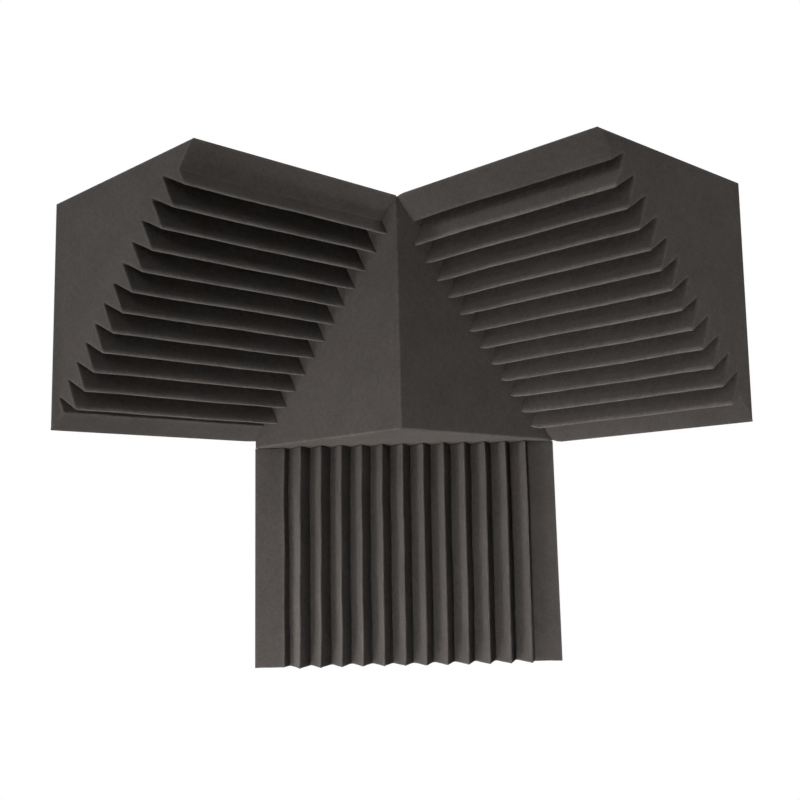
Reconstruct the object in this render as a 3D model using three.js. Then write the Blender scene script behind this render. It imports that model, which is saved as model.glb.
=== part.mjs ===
// Corner bass trap: four blocks of soft open-cell foam that fill the upper corner of a room.
// A plain cube sits in the corner itself. Three wedge-faced traps leave it, one under the
// ceiling along each wall and one down the corner of the two walls.
// Units are millimetres, +Z is up, and the origin is the room's own corner: the ceiling is the
// plane z = 0, the left wall is x = 0 and the right wall is y = 0.
import * as THREE from 'three';

// Cube
const cubeSide = 305;
const jointGap = 0.3;

// Traps. Soft foam is cut only roughly: each leg differs from the cube's side by its own excess.
const leftTrapLength = 313;
const leftTrapCeilingExcess = 8.5;
const leftTrapWallExcess = -10;
const leftTrapCeilingStrip = 40;
const leftTrapWallStrip = 31.5;
const rightTrapLength = 317.5;
const rightTrapCeilingExcess = -2.5;
const rightTrapCeilingStrip = 41.5;
const rightTrapWallStrip = 40;
const verticalTrapLength = 312;
const verticalTrapLeftExcess = 4;
const verticalTrapRightExcess = 1.5;
const verticalTrapLeftStrip = 41.5;
const verticalTrapRightStrip = 40;

const leftTrapCeilingLeg = cubeSide + leftTrapCeilingExcess;
const leftTrapWallLeg = cubeSide + leftTrapWallExcess;
const rightTrapCeilingLeg = cubeSide + rightTrapCeilingExcess;
const rightTrapWallLeg = cubeSide;
const verticalTrapLeftLeg = cubeSide + verticalTrapLeftExcess;
const verticalTrapRightLeg = cubeSide + verticalTrapRightExcess;

// Wedge face
const wedgeCount = 12;
const wedgeDepth = 42;
const wedgeLand = 1.6;
// a wedge's flank towards end A is the steeper one: it takes this share of the pitch
const steepFlankShare = 0.4;

// Double-sided tape tabs that hold each block to the ceiling and the walls
const tabSide = 25;
const tabThickness = 1;
const tabEdgeInset = 30;
const tabSlopeInset = 50;
const tabSeatGap = 0.3;

// Each block's back stands off the room's surfaces by a tab and its seat
const backOffset = tabThickness + tabSeatGap;
const cubeReach = backOffset + cubeSide;
const trapStart = cubeReach + jointGap;

const towardsRoomX = new THREE.Vector3(1, 0, 0);
const towardsRoomY = new THREE.Vector3(0, -1, 0);
const towardsFloor = new THREE.Vector3(0, 0, -1);

// The room's surfaces: two directions in the surface, whose cross product points into the room
const ceiling = { across: towardsRoomX, along: towardsRoomY };
const leftWall = { across: towardsRoomY, along: towardsFloor };
const rightWall = { across: towardsFloor, along: towardsRoomX };

const foamLook = { color: 0x4a4643, roughness: 0.95, metalness: 0 };
const tapeLook = { color: 0xd9d7d0, roughness: 0.6, metalness: 0 };

function namedMesh(name, geometry, look) {
  const mesh = new THREE.Mesh(geometry, new THREE.MeshStandardMaterial(look));
  mesh.name = name;
  return mesh;
}

// Turns a mesh so that its own X and Y run along the two directions, and moves it to a place
function placeAlong(mesh, xDirection, yDirection, place) {
  const zDirection = new THREE.Vector3().crossVectors(xDirection, yDirection);
  const turn = new THREE.Matrix4().makeBasis(xDirection, yDirection, zDirection);
  mesh.quaternion.setFromRotationMatrix(turn);
  mesh.position.copy(place);
  return mesh;
}

// Cube in the corner of the room
function makeCornerCube() {
  const cube = namedMesh('corner_cube', new THREE.BoxGeometry(cubeSide, cubeSide, cubeSide), foamLook);
  const middle = backOffset + cubeSide / 2;
  cube.position.set(middle, -middle, -middle);
  return cube;
}

// Cross-section of a trap: a right angle at (0, 0), leg A along +X, leg B along +Y, and the wedge
// face between their ends. The face is described by the distance from end A and the height
// above the slope, and it is flat for the width of a strip beside each leg.
function trapOutline(legA, legB, stripA, stripB) {
  const slope = Math.hypot(legA, legB);
  const alongX = -legA / slope;
  const alongY = legB / slope;
  const pitch = (slope - stripA - stripB) / wedgeCount;
  const steepRun = pitch * steepFlankShare;
  const outline = new THREE.Shape();
  const addFacePoint = (distance, height) => {
    outline.lineTo(legA + distance * alongX + height * alongY, distance * alongY - height * alongX);
  };
  outline.moveTo(0, 0);
  outline.lineTo(legA, 0);
  addFacePoint(stripA, 0);
  for (let wedge = 0; wedge < wedgeCount; wedge += 1) {
    const crest = stripA + wedge * pitch + steepRun / 2;
    const root = crest + pitch - steepRun;
    addFacePoint(crest - wedgeLand / 2, wedgeDepth / 2);
    addFacePoint(crest + wedgeLand / 2, wedgeDepth / 2);
    addFacePoint(root - wedgeLand / 2, -wedgeDepth / 2);
    addFacePoint(root + wedgeLand / 2, -wedgeDepth / 2);
  }
  addFacePoint(slope - stripB, 0);
  outline.lineTo(0, legB);
  outline.closePath();
  return outline;
}

function makeTrap(name, outline, length) {
  const geometry = new THREE.ExtrudeGeometry(outline, { depth: length, bevelEnabled: false });
  return namedMesh(name, geometry, foamLook);
}

// Trap under the ceiling along the left wall. Its end A is at the ceiling.
function makeLeftTrap() {
  const outline = trapOutline(
    leftTrapCeilingLeg, leftTrapWallLeg, leftTrapCeilingStrip, leftTrapWallStrip,
  );
  const trap = makeTrap('left_trap', outline, leftTrapLength);
  const farEnd = new THREE.Vector3(backOffset, -trapStart - leftTrapLength, -backOffset);
  return placeAlong(trap, towardsRoomX, towardsFloor, farEnd);
}

// Trap under the ceiling along the right wall. Its end A is on the wall.
function makeRightTrap() {
  const outline = trapOutline(
    rightTrapWallLeg, rightTrapCeilingLeg, rightTrapWallStrip, rightTrapCeilingStrip,
  );
  const trap = makeTrap('right_trap', outline, rightTrapLength);
  const farEnd = new THREE.Vector3(trapStart + rightTrapLength, -backOffset, -backOffset);
  return placeAlong(trap, towardsFloor, towardsRoomY, farEnd);
}

// Trap down the corner of the two walls. Its end A is on the right wall.
function makeVerticalTrap() {
  const outline = trapOutline(
    verticalTrapRightLeg, verticalTrapLeftLeg, verticalTrapRightStrip, verticalTrapLeftStrip,
  );
  const trap = makeTrap('vertical_trap', outline, verticalTrapLength);
  const upperEnd = new THREE.Vector3(backOffset, -backOffset, -trapStart);
  return placeAlong(trap, towardsRoomX, towardsRoomY, upperEnd);
}

// Tape tabs between one block and one surface of the room: a square near each corner of the
// block's back face. The places are distances from the room's corner along the surface.
function makeTabs(name, surface, acrossPlaces, alongPlaces) {
  const tabs = new THREE.Group();
  for (const across of acrossPlaces) {
    for (const along of alongPlaces) {
      const square = new THREE.BoxGeometry(tabSide, tabSide, tabThickness);
      square.translate(across, along, tabThickness / 2);
      const tab = namedMesh(`${name}_${tabs.children.length + 1}`, square, tapeLook);
      tabs.add(placeAlong(tab, surface.across, surface.along, new THREE.Vector3()));
    }
  }
  return tabs;
}

// Places of the first and last tab on a back face that runs from start to end
function tabPlaces(start, end, endInset) {
  return [start + tabEdgeInset + tabSide / 2, end - endInset - tabSide / 2];
}

// A trap's leg ends in a thin edge, so its outer tabs keep further in
function legPlaces(leg) {
  return tabPlaces(backOffset, backOffset + leg, tabSlopeInset);
}

function lengthPlaces(length) {
  return tabPlaces(trapStart, trapStart + length, tabEdgeInset);
}

const cubePlaces = tabPlaces(backOffset, cubeReach, tabEdgeInset);
const leftTrapPlaces = lengthPlaces(leftTrapLength);
const rightTrapPlaces = lengthPlaces(rightTrapLength);
const verticalTrapPlaces = lengthPlaces(verticalTrapLength);

const bassTrap = new THREE.Group();
bassTrap.add(
  makeCornerCube(),
  makeLeftTrap(),
  makeRightTrap(),
  makeVerticalTrap(),
  makeTabs('cube_ceiling_tab', ceiling, cubePlaces, cubePlaces),
  makeTabs('cube_left_wall_tab', leftWall, cubePlaces, cubePlaces),
  makeTabs('cube_right_wall_tab', rightWall, cubePlaces, cubePlaces),
  makeTabs('left_trap_ceiling_tab', ceiling, legPlaces(leftTrapCeilingLeg), leftTrapPlaces),
  makeTabs('left_trap_wall_tab', leftWall, leftTrapPlaces, legPlaces(leftTrapWallLeg)),
  makeTabs('right_trap_ceiling_tab', ceiling, rightTrapPlaces, legPlaces(rightTrapCeilingLeg)),
  makeTabs('right_trap_wall_tab', rightWall, legPlaces(rightTrapWallLeg), rightTrapPlaces),
  makeTabs('vertical_trap_left_tab', leftWall, legPlaces(verticalTrapLeftLeg), verticalTrapPlaces),
  makeTabs('vertical_trap_right_tab', rightWall, verticalTrapPlaces, legPlaces(verticalTrapRightLeg)),
);

export default bassTrap;
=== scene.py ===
# Corner bass trap: the looks of the four foam blocks and of the tape that holds them
import math

import bmesh
import bpy
from mathutils import Matrix, Vector, geometry, kdtree, noise


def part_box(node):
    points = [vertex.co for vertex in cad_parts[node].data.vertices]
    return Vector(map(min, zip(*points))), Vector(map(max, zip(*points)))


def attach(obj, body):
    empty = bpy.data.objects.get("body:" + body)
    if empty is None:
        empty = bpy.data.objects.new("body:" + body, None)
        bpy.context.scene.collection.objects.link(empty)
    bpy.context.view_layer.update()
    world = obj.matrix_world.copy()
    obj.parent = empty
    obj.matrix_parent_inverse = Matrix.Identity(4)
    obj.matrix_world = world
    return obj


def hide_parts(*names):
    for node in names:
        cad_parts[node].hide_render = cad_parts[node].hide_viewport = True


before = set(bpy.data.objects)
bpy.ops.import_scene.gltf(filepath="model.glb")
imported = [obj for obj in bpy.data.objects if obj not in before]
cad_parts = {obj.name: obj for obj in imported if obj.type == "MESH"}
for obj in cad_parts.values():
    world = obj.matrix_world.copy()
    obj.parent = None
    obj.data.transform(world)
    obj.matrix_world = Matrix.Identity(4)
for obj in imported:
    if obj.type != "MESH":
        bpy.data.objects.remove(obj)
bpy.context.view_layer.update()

MM = 0.001

# Camera, as a perspective fit of the photograph gives it
CAMERA_PLACE = (1.3119, -1.2814, -0.4490)
CAMERA_HEADING = 45.891
CAMERA_RISE = 7.344
CAMERA_ROLL = -1.452
CAMERA_LENS = 50.20
SENSOR_WIDTH = 36
CAMERA_CLIP = (0.01, 100)

# Wedge face of the traps, as in the CAD model
WEDGE_COUNT = 12
WEDGE_DEPTH = 42 * MM
WEDGE_LAND = 1.6 * MM
STEEP_FLANK_SHARE = 0.4
# Each trap: number and sign of the axis along leg A, along leg B and away from the cube; widths
# of the flat strips at end A and end B; the painted highlight and wear of its crests; and how the
# soft block really lies, off its exact shape. Beside the cube and at the far end, long_a and
# long_b lengthen the legs and lean pushes the wedges towards end A. splay moves the far end out at
# the room's corner, at end A and at end B, and flare only its rim beside leg B, at end B. All
# lengths are in millimetres. The seed sets the unevenness of its cuts.
LEFT_TRAP = {
    "axes": ((0, 1), (2, -1), (1, -1)),
    "strips": (40, 31.5),
    "crest_light_and_wear": 0.95,
    "long_a": (-5.2, 0.5),
    "long_b": (0.8, 0.4),
    "lean": (-1.5, -1.5),
    "splay": (2.8, 0.6, 0),
    "flare": 6,
    "seed": 6,
}
RIGHT_TRAP = {
    "axes": ((2, -1), (1, -1), (0, 1)),
    "strips": (40, 41.5),
    "crest_light_and_wear": 1,
    "long_a": (3.4, 3.1),
    "long_b": (4, 1),
    "lean": (0, 0),
    "splay": (1.2, -1, 1.4),
    "flare": 0,
    "seed": 8,
}
VERTICAL_TRAP = {
    "axes": ((0, 1), (1, -1), (2, -1)),
    "strips": (40, 41.5),
    "crest_light_and_wear": 0.18,
    "long_a": (0, 1),
    "long_b": (-2.7, 1),
    "lean": (3.6, 1),
    "splay": (0, 0, 0),
    "flare": 0,
    "seed": 7,
}

# Roundings of the cut foam
CUBE_EDGE_RADIUS = 4 * MM
BLOCK_EDGE_RADIUS = 1.8 * MM
FEATHER_EDGE_RADIUS = 0.4 * MM
FOLD_RADIUS = 1.5 * MM
WEDGE_RADIUS = 1.05 * MM
JOINT_RADIUS = 0.5 * MM
END_RADIUS = 1.5 * MM
# An arc is drawn in by this share of its radius, so that it doesn't fold over, and a point
# beside it by this much more for each metre in between
ARC_INSET = 0.8
INSET_GROWTH = 0.25

# Sizes of the mesh: steps along a block and a flank, closer ones beside an edge, and rows of
# points that follow the edge of a flat end. The edge is sampled this many times between two of
# its points, and a point of a row stays where it keeps this share of the row's distance to it.
MESH_STEP = 8 * MM
FLANK_STEP = 5 * MM
SHORT_STRETCH = 3 * FLANK_STEP
EDGE_STEPS = (1.2 * MM, 2.8 * MM)
EDGE_ROWS = (1.2 * MM, 2.8 * MM, 5 * MM)
EDGE_SAMPLES = 8
ROW_CLEARANCE = 0.9
ARC_STEPS = 3
QUARTER_TURN = math.pi / 2
# How a flat end is filled: with triangles inside its boundary, and with this tolerance
FILL_INSIDE = 1
FILL_EPSILON = 1e-7
# A normal that points along an axis by at least this share is square to a face of the cube
SQUARE_SHARE = 0.999
# Share of a face's size, in percent, in how it turns the normals at its corners
FACE_SIZE_WEIGHT = 80

# Painted light and wear of rounded edges: a painted highlight with rubbing on crests and outer
# edges, 1 on a crest, and painted shade in roots and folds, -1 in a root; how far each fades,
# and the painted shade of the joint with the cube, as a share of a root's
EDGE_LIGHT_AND_WEAR = 0.35
CUBE_LIGHT_AND_WEAR = 0.4
CREST_REACH = 10 * MM
ROOT_REACH = 38 * MM
END_REACH = 6 * MM
JOINT_SHADE = 0.25
JOINT_REACH = 7 * MM

# Most values of a noise lie in this range, which stands for the whole range of what it sets
NOISE_RANGE = (0.3, 0.7)
DULL_SPECULAR = 0.1

# Foam, in the linear colour that the daylight of the photograph gives it. A strut fades between
# two distances from the edge of its cell, in cells. Each grain has its size, its darkest tone and
# its palest, and so have the patches of the painted light and wear. The grain of the cut has its
# size, its detail and its roughness. Each bump has its strength and its distance.
FOAM_COLOUR = (0.0748, 0.0668, 0.0615)
FOAM_CELL = 1.1 * MM
FOAM_STRUT_FADE = (0.02, 0.3)
FOAM_CELL_TONES = (0.82, 1.22)
FOAM_GRAINS = ((2.5 * MM, 0.93, 1.07), (9 * MM, 0.95, 1.05), (60 * MM, 0.95, 1.05))
FOAM_LIGHT_AND_WEAR_PATCHES = (7 * MM, 0.75, 1.15)
FOAM_CELL_RELIEF = 0.25
FOAM_CUT_GRAIN = (3 * MM, 4, 0.65)
FOAM_BUMP = (0.6, 0.7 * MM)
FOAM_ROUGHNESS = (4 * MM, 0.88, 1)
# Tone of the most lightened crest, a painted highlight with rubbing, and of the darkest root,
# painted shade
CREST_TONE = 1.95
ROOT_TONE = 0.57

# Foam tape. The patches of its glue have their size and their detail. The profile of a tab's side
# is how far it is drawn in, in millimetres, at each share of its thickness.
TAPE_COLOUR = (0.69, 0.68, 0.63)
TAPE_CELL = 0.5 * MM
TAPE_CELL_RANGE = (0.1, 0.6)
TAPE_CELL_TONES = (0.9, 1.04)
TAPE_PATCHES = (5 * MM, 4)
TAPE_PATCH_RANGE = (0.35, 0.65)
TAPE_PATCH_TONES = (0.93, 1.04)
TAPE_BUMP = (0.4, 0.15 * MM)
TAPE_ROUGHNESS = (0.32, 0.6)
TAPE_CORNER_RADIUS = 1.2 * MM
TAPE_PROFILE = ((0.3, 0), (0.08, 0.12), (0, 0.35), (0.05, 0.6), (0, 0.8), (0.12, 0.94), (0.35, 1))
TAPE_SWELL = 0.35 * MM
TAPE_TURN = math.radians(4)

# Unevenness of the cuts: long waves and short ones, each with its length and its height. They
# fade over this distance from the room's surfaces and the cube.
LONG_WAVE = (95 * MM, 1.1 * MM)
SHORT_WAVE = (17 * MM, 0.3 * MM)
SEAT_FADE = 14 * MM
# Hollow of the cube's faces, the share of each wave in it, and its depth on average as a share of
# the deepest. It fades towards the room's surfaces.
CUBE_HOLLOW = 0.8 * MM
HOLLOW_WAVE_SHARES = (0.7, 0.3)
HOLLOW_MEAN_SHARE = 0.5
CUBE_FADE = 25 * MM
# The lean grows over the first distance from the room's surfaces, and the splay over the next one
# up to the far end. The flare of the rim reaches the last one from the surface beside leg B.
LEAN_DEPTH = 60 * MM
SPLAY_REACH = 90 * MM
FLARE_REACH = 18 * MM

# Stage. Each softbox has a heading and a rise in degrees, seen from the part, its distance and
# its width in metres, the angle in degrees that it spreads over, how far below the part's middle
# it is aimed, in metres, and its power.
PART_MIDDLE = Vector((0.31, -0.31, -0.31))
SOFTBOXES = (
    ("key_light", 35, -35, 2.8, 0.5, 60, 0.6, 7.3),
    ("front_light", 35, 15, 2.8, 0.5, 50, 0.6, 1.25),
    ("under_light", -5, -58, 2.8, 0.5, 36, 0.6, 1.4),
    ("low_light", -30, -58, 0.8, 0.35, 180, 0, 2.5),
    ("right_light", 105, 40, 2.8, 0.8, 180, 0, 27),
    ("left_light", -35, 40, 2.8, 0.8, 180, 0, 56),
    ("back_light", 225, 30, 2.8, 1.2, 180, 0, 60),
)
EVEN_LIGHT = 0.065
WHITE = (1, 1, 1, 1)
FLOOR_LEVEL = -3.2
FLOOR_RADIUS = 8
FLOOR_SEGMENTS = 96
FLOOR_COLOUR = (0.85, 0.85, 0.84)
FLOOR_PATCHES = (400 * MM, 0.96, 1)
FLOOR_ROUGHNESS = 0.9
FLOOR_GLOW = 0.75

# Turns distances from the room's corner, along both walls and down, into the frame's axes
FROM_ROOM_CORNER = Matrix.Diagonal((1, -1, -1, 1))


def smoothstep(low, high, value):
    share = min(max((value - low) / (high - low), 0.0), 1.0)
    return share * share * (3 - 2 * share)


# Camera
def make_camera():
    data = bpy.data.cameras.new("camera")
    data.sensor_width = SENSOR_WIDTH
    data.lens = CAMERA_LENS
    data.clip_start, data.clip_end = CAMERA_CLIP
    camera = bpy.data.objects.new("camera", data)
    turn = Matrix.Rotation(math.radians(CAMERA_HEADING), 4, "Z")
    rise = Matrix.Rotation(math.radians(90 + CAMERA_RISE), 4, "X")
    roll = Matrix.Rotation(math.radians(CAMERA_ROLL), 4, "Z")
    camera.matrix_world = Matrix.Translation(CAMERA_PLACE) @ turn @ rise @ roll
    bpy.context.scene.collection.objects.link(camera)
    bpy.context.scene.camera = camera


# Outline of a trap's cross-section: a right angle at (0, 0), leg A along the first axis, leg B
# along the second, and the wedge face between their ends. Each corner has its radius and its
# painted light and wear, from 1 on a crest, a painted highlight with rubbing, to -1 in a root,
# painted shade.
def trap_corners(leg_a, leg_b, strip_a, strip_b, crest_light_and_wear):
    slope = math.hypot(leg_a, leg_b)
    along = Vector((-leg_a, leg_b)) / slope
    out = Vector((leg_b, leg_a)) / slope

    def face_point(distance, height):
        return Vector((leg_a, 0)) + along * distance + out * height

    pitch = (slope - strip_a - strip_b) / WEDGE_COUNT
    steep_run = pitch * STEEP_FLANK_SHARE
    corners = [
        (Vector((0, 0)), BLOCK_EDGE_RADIUS, 0),
        # outer edges lightened, a painted highlight with rubbing, and the fold darkened, painted
        # shade
        (Vector((leg_a, 0)), FEATHER_EDGE_RADIUS, EDGE_LIGHT_AND_WEAR),
        (face_point(strip_a, 0), FOLD_RADIUS, -EDGE_LIGHT_AND_WEAR),
    ]
    for wedge in range(WEDGE_COUNT):
        crest = strip_a + wedge * pitch + steep_run / 2
        root = crest + pitch - steep_run
        for distance, level, light_and_wear in ((crest, 1, crest_light_and_wear), (root, -1, -1)):
            for side in (-1, 1):
                place = face_point(distance + side * WEDGE_LAND / 2, level * WEDGE_DEPTH / 2)
                corners.append((place, WEDGE_RADIUS, light_and_wear))
    corners.append((face_point(slope - strip_b, 0), FOLD_RADIUS, EDGE_LIGHT_AND_WEAR))
    corners.append((Vector((0, leg_b)), FEATHER_EDGE_RADIUS, EDGE_LIGHT_AND_WEAR))
    return corners


# Painted light and wear that is left at a distance from its edge. A crest's fades fast at first.
def faded(light_and_wear, distance):
    if light_and_wear > 0:
        return light_and_wear * max(0, 1 - distance / CREST_REACH) ** 2
    return light_and_wear * max(0, 1 - distance / ROOT_REACH)


# Places between the ends of a straight stretch, with closer ones beside both ends
def places_along(length):
    steps = max(1, round(length / FLANK_STEP))
    places = [length * step / steps for step in range(1, steps)]
    if length < SHORT_STRETCH:
        return places
    beside = [place for step in EDGE_STEPS for place in (step, length - step)]
    return sorted(places + beside)


# Rounds each corner of an outline with an arc. Returns points, each with its outward normal, its
# painted light and wear, and how far it may be drawn in.
def rounded_corners(corners):
    points = []
    for index, (corner, radius, light_and_wear) in enumerate(corners):
        before = (corners[index - 1][0] - corner).normalized()
        after = (corners[(index + 1) % len(corners)][0] - corner).normalized()
        half_angle = before.angle(after) / 2
        reach = radius / math.tan(half_angle)
        centre = corner + (before + after).normalized() * radius / math.sin(half_angle)
        start = corner + before * reach - centre
        end = corner + after * reach - centre
        sweep = start.angle_signed(end)
        for step in range(ARC_STEPS + 1):
            turn = Matrix.Rotation(-sweep * step / ARC_STEPS, 2)
            normal = turn @ Vector((-before.y, before.x))
            points.append((centre + turn @ start, normal, light_and_wear, radius * ARC_INSET))
    return points


# Rounds an outline and cuts its long straight stretches into steps, along which painted light and
# wear fade
def rounded_outline(corners):
    points = rounded_corners(corners)
    stepped = []
    for index, (point, normal, light_and_wear, inset) in enumerate(points):
        following, _, next_light_and_wear, next_inset = points[(index + 1) % len(points)]
        length = (following - point).length
        stepped.append((point, normal, light_and_wear, inset))
        for place in places_along(length):
            rest = length - place
            here = faded(light_and_wear, place) + faded(next_light_and_wear, rest)
            wider = min(inset + place * INSET_GROWTH, next_inset + rest * INSET_GROWTH)
            limit = min(wider, END_RADIUS)
            stepped.append((point.lerp(following, place / length), normal, here, limit))
    return stepped


# Cross-sections that round an end: how far the outline is drawn in, at each depth from the end
def end_rounding(radius):
    angles = [QUARTER_TURN * step / ARC_STEPS for step in range(ARC_STEPS + 1)]
    return [(radius * (1 - math.sin(angle)), radius * (1 - math.cos(angle))) for angle in angles]


# Places of the cross-sections along a block, each with how far its outline is drawn in there
def sections(length):
    start = JOINT_RADIUS
    end = length - END_RADIUS
    steps = round((end - start) / MESH_STEP)
    places = [start + (end - start) * step / steps for step in range(1, steps)]
    for beside in EDGE_STEPS:
        places += [start + beside, end - beside]
    far = [(inset, length - depth) for inset, depth in reversed(end_rounding(END_RADIUS))]
    return end_rounding(JOINT_RADIUS) + [(0.0, place) for place in sorted(places)] + far


# Painted light and wear at a distance from the edge round the far end, which is lightened there:
# a painted highlight with rubbing. A root's painted shade gives way to it.
def light_and_wear_beside_end(light_and_wear, distance):
    share = max(0, 1 - distance / END_REACH) ** 2
    return light_and_wear + (max(light_and_wear, EDGE_LIGHT_AND_WEAR) - light_and_wear) * share


# Painted shade at a distance from the joint with the cube, darkened like a root
def painted_shade_beside_joint(light_and_wear, distance):
    share = max(0, 1 - distance / JOINT_REACH)
    return light_and_wear - (light_and_wear + 1) * JOINT_SHADE * share


# Places inside a flat end: a few rows that follow its edge, and a grid further in
def end_places(ring, outline):
    edge = kdtree.KDTree(len(ring) * EDGE_SAMPLES)
    for index, vert in enumerate(ring):
        following = ring[(index + 1) % len(ring)].co
        for step in range(EDGE_SAMPLES):
            sample = vert.co.lerp(following, step / EDGE_SAMPLES)
            edge.insert(sample, index * EDGE_SAMPLES + step)
    edge.balance()
    level = ring[0].co.z
    places = []
    for row in EDGE_ROWS:
        for vert, (point, normal, light_and_wear, limit) in zip(ring, outline):
            place = vert.co - normal.to_3d() * row
            if edge.find(place)[2] > row * ROW_CLEARANCE:
                places.append((place, edge.find(place)[2]))
    reach = round(max(max(vert.co.x, vert.co.y) for vert in ring) / MESH_STEP)
    for column in range(1, reach):
        for row in range(1, reach):
            place = Vector((column * MESH_STEP, row * MESH_STEP, level))
            distance = edge.find(place)[2]
            if distance > EDGE_ROWS[-1] + MESH_STEP / 2:
                places.append((place, distance))
    return places


# Fills a flat end with small faces, whose painted light and wear fade away from its edge
def fill_end(bm, light_and_wear_field, ring, outline, is_lit_and_worn):
    inner = end_places(ring, outline)
    flat = [vert.co.to_2d() for vert in ring] + [place.to_2d() for place, distance in inner]
    boundary = list(range(len(ring)))
    # of what comes back, item 2 is the faces, 3 the points given that each point comes from, and
    # 5 the boundary that each face lies inside
    filled = geometry.delaunay_2d_cdt(flat, [], [boundary], FILL_INSIDE, FILL_EPSILON, True)
    origins = filled[3]
    faces = [face for face, inside in zip(filled[2], filled[5]) if inside]
    verts = {}
    for number in sorted({number for face in faces for number in face}):
        origin = origins[number][0]
        if origin < len(ring):
            verts[number] = ring[origin]
            continue
        place, distance = inner[origin - len(ring)]
        verts[number] = bm.verts.new(place)
        verts[number][light_and_wear_field] = light_and_wear_beside_end(0, distance) if is_lit_and_worn else 0
    for face in faces:
        bm.faces.new([verts[number] for number in face])


# Faces between each ring of points and the next
def join_rings(bm, rings):
    for ring, following in zip(rings, rings[1:]):
        for index in range(len(ring)):
            after = (index + 1) % len(ring)
            bm.faces.new((ring[index], ring[after], following[after], following[index]))


def finished_mesh(name, bm):
    mesh = bpy.data.meshes.new(name)
    bm.to_mesh(mesh)
    bm.free()
    return mesh


# Mesh of a trap in its own space: leg A along X, leg B along Y, and Z away from the cube
def trap_mesh(name, corners, length):
    outline = rounded_outline(corners)
    bm = bmesh.new()
    light_and_wear_field = bm.verts.layers.float.new("light_and_wear")
    rings = []
    for inset, place in sections(length):
        ring = []
        for point, normal, light_and_wear, limit in outline:
            drawn = point - normal * min(inset, limit)
            vert = bm.verts.new((drawn.x, drawn.y, place))
            # darkened beside the cube, painted shade, and lightened round the far end, a painted
            # highlight with rubbing
            vert[light_and_wear_field] = light_and_wear_beside_end(painted_shade_beside_joint(light_and_wear, place), length - place)
            ring.append(vert)
        rings.append(ring)
    join_rings(bm, rings)
    fill_end(bm, light_and_wear_field, rings[0], outline, is_lit_and_worn=False)
    fill_end(bm, light_and_wear_field, rings[-1], outline, is_lit_and_worn=True)
    bmesh.ops.recalc_face_normals(bm, faces=bm.faces)
    return finished_mesh(name, bm)


# Value between one beside the cube and one at the far end, in metres
def between(pair, along):
    near, far = pair
    return (near + (far - near) * along) * MM


# Uneven move of a point of cut foam. It fades where a block sits against the room and the cube.
def unevenness(place):
    seated = 1.0
    for distance in place:
        seated *= smoothstep(0, SEAT_FADE, distance)
    move = Vector()
    for wave_length, height in (LONG_WAVE, SHORT_WAVE):
        move += noise.noise_vector(place / wave_length) * height
    return move * seated


# How much longer a leg is, in metres. Right beside the cube there is no room for a longer one.
def lengthening(pair, place, along):
    longer = between(pair, along)
    if longer > 0:
        return longer * smoothstep(0, SEAT_FADE, place.z)
    return longer


# How far the far end stands out at a point of its outline, in metres
def far_end_move(trap, place, share_a, share_b):
    at_corner, at_a, at_b = trap["splay"]
    splay = at_corner + (at_a - at_corner) * share_a + (at_b - at_corner) * share_b
    splay += trap["flare"] * share_b * (1 - smoothstep(0, FLARE_REACH, place.x))
    return splay * MM


# Moves a trap's points as the soft block really lies, and unevenly besides
def shape_trap(mesh, size, trap):
    slope = math.hypot(size.x, size.y)
    towards_a = Vector((size.x, -size.y, 0)) / slope
    noise.seed_set(trap["seed"])
    for vert in mesh.vertices:
        place = vert.co.copy()
        move = unevenness(place)
        along = place.z / size.z
        share_a = place.x / size.x
        share_b = place.y / size.y
        move.x += share_a * lengthening(trap["long_a"], place, along)
        move.y += share_b * lengthening(trap["long_b"], place, along)
        inside = smoothstep(0, LEAN_DEPTH, min(place.x, place.y))
        move += towards_a * between(trap["lean"], along) * inside
        far = smoothstep(size.z - SPLAY_REACH, size.z, place.z)
        move.z += far_end_move(trap, place, share_a, share_b) * far
        vert.co += move


def make_object(name, mesh, material):
    for polygon in mesh.polygons:
        polygon.use_smooth = True
    mesh.materials.append(material)
    piece = bpy.data.objects.new(name, mesh)
    bpy.context.scene.collection.objects.link(piece)
    weighted = piece.modifiers.new("flat faces", "WEIGHTED_NORMAL")
    weighted.keep_sharp = True
    weighted.weight = FACE_SIZE_WEIGHT
    return piece


def finish_foam(piece, node):
    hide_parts(node)
    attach(piece, "root")


# Turns a trap's own axes into the frame's, and moves its corner to the room's side of its box
def trap_placing(trap, low, high):
    placing = Matrix.Identity(4)
    for column, (axis, sign) in enumerate(trap["axes"]):
        placing[0][column] = placing[1][column] = placing[2][column] = 0
        placing[axis][column] = sign
        placing[axis][3] = low[axis] if sign > 0 else high[axis]
    return placing


def make_trap(name, node, trap, foam):
    low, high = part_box(node)
    size = Vector([high[axis] - low[axis] for axis, sign in trap["axes"]])
    strip_a, strip_b = trap["strips"]
    corners = trap_corners(size.x, size.y, strip_a * MM, strip_b * MM, trap["crest_light_and_wear"])
    mesh = trap_mesh(name, corners, size.z)
    shape_trap(mesh, size, trap)
    placing = trap_placing(trap, low, high)
    mesh.transform(placing)
    if placing.determinant() < 0:
        mesh.flip_normals()
    finish_foam(make_object(name, mesh, foam), node)


# Depth of the cube's hollow at a point, as a share of the deepest
def hollow_share(point):
    wave = 0
    for (wave_length, height), share in zip((LONG_WAVE, SHORT_WAVE), HOLLOW_WAVE_SHARES):
        wave += noise.noise(point / wave_length) * share
    return HOLLOW_MEAN_SHARE + wave / 2


# Places of the points along a side of the cube, closer where its edges are rounded
def cube_places(side):
    edge = [depth for inset, depth in end_rounding(CUBE_EDGE_RADIUS)[:-1]]
    flat = side - 2 * CUBE_EDGE_RADIUS
    steps = round(flat / MESH_STEP)
    middle = [CUBE_EDGE_RADIUS + flat * step / steps for step in range(steps + 1)]
    return edge + middle + [side - place for place in reversed(edge)]


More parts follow.
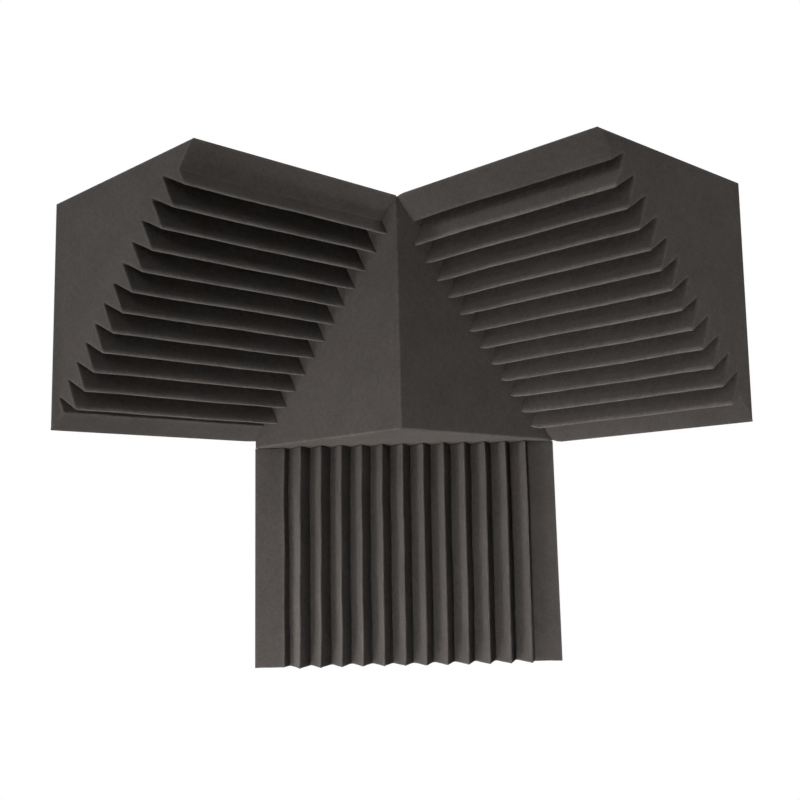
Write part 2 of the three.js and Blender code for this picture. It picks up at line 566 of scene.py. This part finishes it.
# Where a point of a sharp cube lies on the rounded and hollow one, and its painted light and wear:
# its rounded edges are lightened, a painted highlight with rubbing. Towards the walls and the
# ceiling the cube's edges are sharper, and its faces flat.
def cube_point(point, side):
    free = smoothstep(0, CUBE_FADE, min(point))
    radius = FEATHER_EDGE_RADIUS + (CUBE_EDGE_RADIUS - FEATHER_EDGE_RADIUS) * free
    inner = Vector([min(max(value, radius), side - radius) for value in point])
    out = (point - inner).normalized()
    hollow = CUBE_HOLLOW * hollow_share(point) * free
    is_edge = max(abs(value) for value in out) < SQUARE_SHARE
    return inner + out * (radius - hollow), CUBE_LIGHT_AND_WEAR if is_edge else 0


# Cube: six faces of small quads that share the points along its edges
def cube_mesh(name, side, corner):
    places = cube_places(side)
    last = len(places) - 1
    bm = bmesh.new()
    light_and_wear_field = bm.verts.layers.float.new("light_and_wear")
    verts = {}

    def vert(key):
        if key not in verts:
            place, light_and_wear = cube_point(Vector([places[number] for number in key]), side)
            verts[key] = bm.verts.new(place)
            verts[key][light_and_wear_field] = light_and_wear
        return verts[key]

    for axis in range(3):
        for level in (0, last):
            for row in range(last):
                for column in range(last):
                    quad = []
                    for down, right in ((0, 0), (0, 1), (1, 1), (1, 0)):
                        key = [row + down, column + right]
                        key.insert(axis, level)
                        quad.append(vert(tuple(key)))
                    bm.faces.new(quad)
    bmesh.ops.transform(bm, matrix=Matrix.Translation(corner) @ FROM_ROOM_CORNER, verts=bm.verts)
    bmesh.ops.recalc_face_normals(bm, faces=bm.faces)
    return finished_mesh(name, bm)


def make_cube(foam):
    low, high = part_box("corner_cube")
    mesh = cube_mesh("cube_foam", high.x - low.x, Vector((low.x, high.y, high.z)))
    finish_foam(make_object("cube_foam", mesh, foam), "corner_cube")


# Square of foam tape in its own space: its glued faces are square to Z, the outer one at zero
def tape_mesh(name, side, depth):
    outline = []
    for corner in range(4):
        turn = Matrix.Rotation(QUARTER_TURN * corner, 2)
        for step in range(ARC_STEPS + 1):
            angle = QUARTER_TURN * step / ARC_STEPS
            arc = Vector((math.cos(angle), math.sin(angle))) * TAPE_CORNER_RADIUS
            inner = side / 2 - TAPE_CORNER_RADIUS
            outline.append(turn @ (Vector((inner, inner)) + arc))
    bm = bmesh.new()
    rings = []
    for inset, share in TAPE_PROFILE:
        reach = 1 - inset * MM / (side / 2)
        rings.append([bm.verts.new((*(point * reach), depth * share)) for point in outline])
    join_rings(bm, rings)
    bm.faces.new(list(reversed(rings[0])))
    bm.faces.new(rings[-1])
    return finished_mesh(name, bm)


# A tab fills the room from the wall or ceiling to the foam, and is turned a little as if by hand
def make_tape(node, tape):
    low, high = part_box(node)
    size = high - low
    thin = min(range(3), key=lambda axis: size[axis])
    inward = Vector()
    inward[thin] = 1 if abs(low[thin]) < abs(high[thin]) else -1
    middle = (low + high) / 2
    middle[thin] = 0
    turn = Matrix.Rotation(TAPE_TURN * noise.noise(middle / LONG_WAVE[0]), 4, "Z")
    place = Matrix.Translation(middle) @ inward.to_track_quat("Z", "Y").to_matrix().to_4x4() @ turn
    mesh = tape_mesh(node + "_tape", max(size), size[thin] + TAPE_SWELL)
    mesh.transform(place)
    piece = make_object(node + "_tape", mesh, tape)
    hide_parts(node)
    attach(piece, "root")


# Materials
def add_node(tree, kind, inputs, **settings):
    node = tree.nodes.new(kind)
    for name, value in settings.items():
        setattr(node, name, value)
    for socket, value in inputs.items():
        if isinstance(value, bpy.types.NodeSocket):
            tree.links.new(value, node.inputs[socket])
        else:
            node.inputs[socket].default_value = value
    return node


def new_material(name):
    material = bpy.data.materials.new(name)
    material.use_nodes = True
    tree = material.node_tree
    return material, tree, tree.nodes["Principled BSDF"]


def object_places(tree):
    return add_node(tree, "ShaderNodeTexCoord", {}).outputs["Object"]


def noise_value(tree, places, size, detail=2.0, roughness=0.5):
    inputs = {"Vector": places, "Scale": 1 / size, "Detail": detail, "Roughness": roughness}
    return add_node(tree, "ShaderNodeTexNoise", inputs).outputs["Fac"]


# Takes a value from the range low to high to the range start to end, smoothly
def ramp_value(tree, value, low, high, start, end):
    inputs = {"Value": value, "From Min": low, "From Max": high, "To Min": start, "To Max": end}
    node = add_node(tree, "ShaderNodeMapRange", inputs, interpolation_type="SMOOTHSTEP")
    return node.outputs["Result"]


# A noise of one size that runs from one value to another
def grain_value(tree, places, size, low, high):
    return ramp_value(tree, noise_value(tree, places, size), *NOISE_RANGE, low, high)


def combine(tree, operation, first, second):
    return add_node(tree, "ShaderNodeMath", {0: first, 1: second}, operation=operation).outputs[0]


def scaled_colour(tree, colour, factor):
    inputs = {0: colour, "Scale": factor}
    return add_node(tree, "ShaderNodeVectorMath", inputs, operation="SCALE").outputs[0]


# How far places lie from the middles of cells, or from their edges
def cell_distance(tree, places, size, feature):
    inputs = {"Vector": places, "Scale": 1 / size, "Randomness": 1}
    return add_node(tree, "ShaderNodeTexVoronoi", inputs, feature=feature).outputs["Distance"]


def add_bump(tree, shader, height, strength, distance):
    inputs = {"Height": height, "Strength": strength, "Distance": distance}
    bump = add_node(tree, "ShaderNodeBump", inputs)
    tree.links.new(bump.outputs["Normal"], shader.inputs["Normal"])


# Tone of the foam: its cells, its grain, and the patchy painted light and wear of its edges, a
# painted highlight with rubbing on crests and edges and painted shade in roots, folds and the
# joint
def foam_tone(tree, places, strut):
    tone = ramp_value(tree, strut, 0, 1, *FOAM_CELL_TONES)
    for grain in FOAM_GRAINS:
        tone = combine(tree, "MULTIPLY", tone, grain_value(tree, places, *grain))
    light_and_wear = add_node(tree, "ShaderNodeAttribute", {}, attribute_name="light_and_wear").outputs["Fac"]
    light_and_wear_field = combine(tree, "MULTIPLY", light_and_wear, grain_value(tree, places, *FOAM_LIGHT_AND_WEAR_PATCHES))
    # crests and edges lighter, a painted highlight with rubbing; roots, folds and the joint
    # darker, painted shade
    tone = combine(tree, "MULTIPLY", tone, ramp_value(tree, light_and_wear_field, 0, 1, 1, CREST_TONE))
    return combine(tree, "MULTIPLY", tone, ramp_value(tree, light_and_wear_field, -1, 0, ROOT_TONE, 1))


# Open-cell foam: pale struts round dark pores, in a surface that was cut
def foam_material():
    material, tree, shader = new_material("charcoal_foam")
    places = object_places(tree)
    to_edge = cell_distance(tree, places, FOAM_CELL, "DISTANCE_TO_EDGE")
    strut = ramp_value(tree, to_edge, *FOAM_STRUT_FADE, 1, 0)
    tone = foam_tone(tree, places, strut)
    tree.links.new(scaled_colour(tree, FOAM_COLOUR, tone), shader.inputs["Base Color"])
    relief = combine(tree, "MULTIPLY", strut, FOAM_CELL_RELIEF)
    relief = combine(tree, "ADD", relief, noise_value(tree, places, *FOAM_CUT_GRAIN))
    add_bump(tree, shader, relief, *FOAM_BUMP)
    tree.links.new(grain_value(tree, places, *FOAM_ROUGHNESS), shader.inputs["Roughness"])
    # a porous surface throws light back towards where it came from
    shader.inputs["Diffuse Roughness"].default_value = 1
    shader.inputs["Specular IOR Level"].default_value = DULL_SPECULAR
    return material


# Foam tape: fine cells of its core under a clear glue that is patchy with trapped air
def tape_material():
    material, tree, shader = new_material("foam_tape")
    places = object_places(tree)
    speck = cell_distance(tree, places, TAPE_CELL, "F1")
    tone = ramp_value(tree, speck, *TAPE_CELL_RANGE, *TAPE_CELL_TONES)
    patch = noise_value(tree, places, *TAPE_PATCHES)
    patch_tone = ramp_value(tree, patch, *TAPE_PATCH_RANGE, *TAPE_PATCH_TONES)
    tone = combine(tree, "MULTIPLY", tone, patch_tone)
    tree.links.new(scaled_colour(tree, TAPE_COLOUR, tone), shader.inputs["Base Color"])
    add_bump(tree, shader, combine(tree, "ADD", speck, patch), *TAPE_BUMP)
    roughness = ramp_value(tree, patch, *TAPE_PATCH_RANGE, *TAPE_ROUGHNESS)
    tree.links.new(roughness, shader.inputs["Roughness"])
    return material


# Stage
def floor_material():
    material, tree, shader = new_material("pale_floor")
    tone = grain_value(tree, object_places(tree), *FLOOR_PATCHES)
    tree.links.new(scaled_colour(tree, FLOOR_COLOUR, tone), shader.inputs["Base Color"])
    shader.inputs["Roughness"].default_value = FLOOR_ROUGHNESS
    shader.inputs["Specular IOR Level"].default_value = DULL_SPECULAR
    shader.inputs["Emission Color"].default_value = (*FLOOR_COLOUR, 1)
    shader.inputs["Emission Strength"].default_value = FLOOR_GLOW
    return material


# The floor is pale to the eye, but throws no light on the part
def make_floor():
    bm = bmesh.new()
    centre = Matrix.Translation((PART_MIDDLE.x, PART_MIDDLE.y, FLOOR_LEVEL))
    bmesh.ops.create_circle(
        bm, cap_ends=True, segments=FLOOR_SEGMENTS, radius=FLOOR_RADIUS, matrix=centre
    )
    mesh = finished_mesh("floor", bm)
    mesh.materials.append(floor_material())
    floor = bpy.data.objects.new("floor", mesh)
    floor.visible_diffuse = False
    floor.visible_glossy = False
    bpy.context.scene.collection.objects.link(floor)


# A round softbox that faces the part. heading 0 stands it on the -Y side and 90 on the +X side.
def make_softbox(name, heading, rise, reach, width, spread, drop, power):
    turn = math.radians(heading)
    lift = math.radians(rise)
    level = math.cos(lift)
    away = Vector((math.sin(turn) * level, -math.cos(turn) * level, math.sin(lift)))
    data = bpy.data.lights.new(name, "AREA")
    data.shape = "DISK"
    data.size = width
    data.spread = math.radians(spread)
    data.energy = power
    light = bpy.data.objects.new(name, data)
    light.location = PART_MIDDLE + away * reach
    backwards = away * reach + Vector((0, 0, drop))
    light.rotation_euler = backwards.to_track_quat("Z", "Y").to_euler()
    light.visible_camera = False
    bpy.context.scene.collection.objects.link(light)


# White all round to the eye, and a weaker even light on the part
def make_world():
    world = bpy.data.worlds.new("studio")
    bpy.context.scene.world = world
    world.use_nodes = True
    tree = world.node_tree
    eye = add_node(tree, "ShaderNodeLightPath", {}).outputs["Is Camera Ray"]
    strength = ramp_value(tree, eye, 0, 1, EVEN_LIGHT, 1)
    background = tree.nodes["Background"]
    background.inputs["Color"].default_value = WHITE
    tree.links.new(strength, background.inputs["Strength"])


def make_stage():
    make_floor()
    make_world()
    for softbox in SOFTBOXES:
        make_softbox(*softbox)
    bpy.context.scene.view_settings.view_transform = "Standard"


make_camera()
foam = foam_material()
make_cube(foam)
make_trap("left_foam", "left_trap", LEFT_TRAP, foam)
make_trap("right_foam", "right_trap", RIGHT_TRAP, foam)
make_trap("vertical_foam", "vertical_trap", VERTICAL_TRAP, foam)
tape = tape_material()
for node in sorted(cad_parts):
    if "_tab_" in node:
        make_tape(node, tape)
make_stage()
